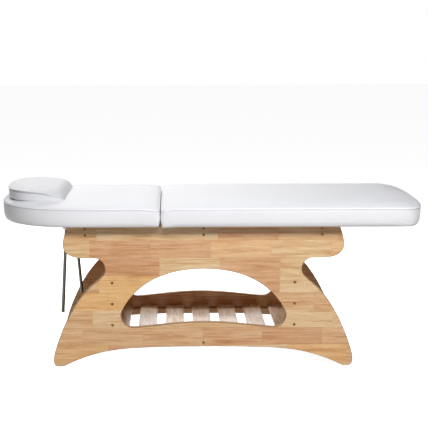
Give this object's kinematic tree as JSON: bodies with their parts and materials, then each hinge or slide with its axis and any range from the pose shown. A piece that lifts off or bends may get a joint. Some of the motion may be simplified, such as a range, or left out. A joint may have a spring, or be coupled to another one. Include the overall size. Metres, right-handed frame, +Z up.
{
  "type": "treatment bed",
  "caption": "Salon and spa treatment bed: wooden base with shaped side panels and a slatted shelf, padded top with a hinged backrest held up by prop legs, and a lift-off head pillow",
  "frame": {"origin": "on the floor, under the middle of the bed's overall box", "axes": "+X from the head end to the foot end, +Y across the bed away from the pictured side, +Z up"},
  "size_m": [1.891, 0.743, 0.7926],
  "materials": {
    "panel_wood": "clear satin lacquer on finger-jointed wood",
    "slat_wood": "clear satin lacquer on pale slats",
    "plywood": "sanded plywood",
    "vinyl": "smooth white synthetic leather, satin",
    "steel": "zinc-plated steel",
    "dark_steel": "black oxide, satin"
  },
  "bodies": {
    "base": {"front_side_panel": "panel_wood", "back_side_panel": "panel_wood", "head_end_board": "panel_wood", "foot_end_board": "panel_wood", "head_cross_rail": "panel_wood", "middle_cross_rail": "panel_wood", "foot_cross_rail": "panel_wood", "shelf_front_cleat": "slat_wood", "shelf_back_cleat": "slat_wood", "shelf_slat_1": "slat_wood", "shelf_slat_2": "slat_wood", "shelf_slat_3": "slat_wood", "shelf_slat_4": "slat_wood", "shelf_slat_5": "slat_wood", "shelf_slat_6": "slat_wood", "shelf_slat_7": "slat_wood", "slat_screws": "steel", "front_panel_bolts": "dark_steel", "back_panel_bolts": "dark_steel", "seat_board": "plywood", "seat_brackets": "steel", "seat_bracket_screws": "steel", "seat_cushion": "vinyl", "hinge_seat_leaves": "steel", "hinge_pins": "steel", "hinge_seat_screws": "steel"},
    "backrest": {"hinge_backrest_leaves": "steel", "hinge_backrest_screws": "steel", "backrest_board": "plywood", "backrest_cushion": "vinyl", "backrest_cushion_fold": "vinyl", "front_prop_bracket": "steel", "back_prop_bracket": "steel", "prop_bracket_screws": "steel", "front_prop_pin": "steel", "back_prop_pin": "steel"},
    "front_prop": {"front_prop_tube": "steel"},
    "back_prop": {"back_prop_tube": "steel"},
    "pillow": {"pillow": "vinyl"}
  },
  "joints": [
    {"name": "backrest_hinge", "type": "hinge", "parent": "base", "child": "backrest", "pos_m": [-0.222, 0, 0.6385], "axis": [0, 1, 0], "range_deg": [0, 66], "deforming": ["backrest_cushion_fold"]},
    {"name": "front_prop_swing", "type": "hinge", "parent": "backrest", "child": "front_prop", "pos_m": [-0.646, -0.184, 0.622], "axis": [0, 1, 0], "range_deg": [-29.3, 81.7]},
    {"name": "back_prop_swing", "type": "hinge", "parent": "backrest", "child": "back_prop", "pos_m": [-0.646, 0.184, 0.622], "axis": [0, 1, 0], "range_deg": [-21.3, 89.7]},
    {"name": "pillow_lift", "type": "slide", "parent": "backrest", "child": "pillow", "axis": [0, 0, 1], "range_m": [0, 0.15]}
  ]
}
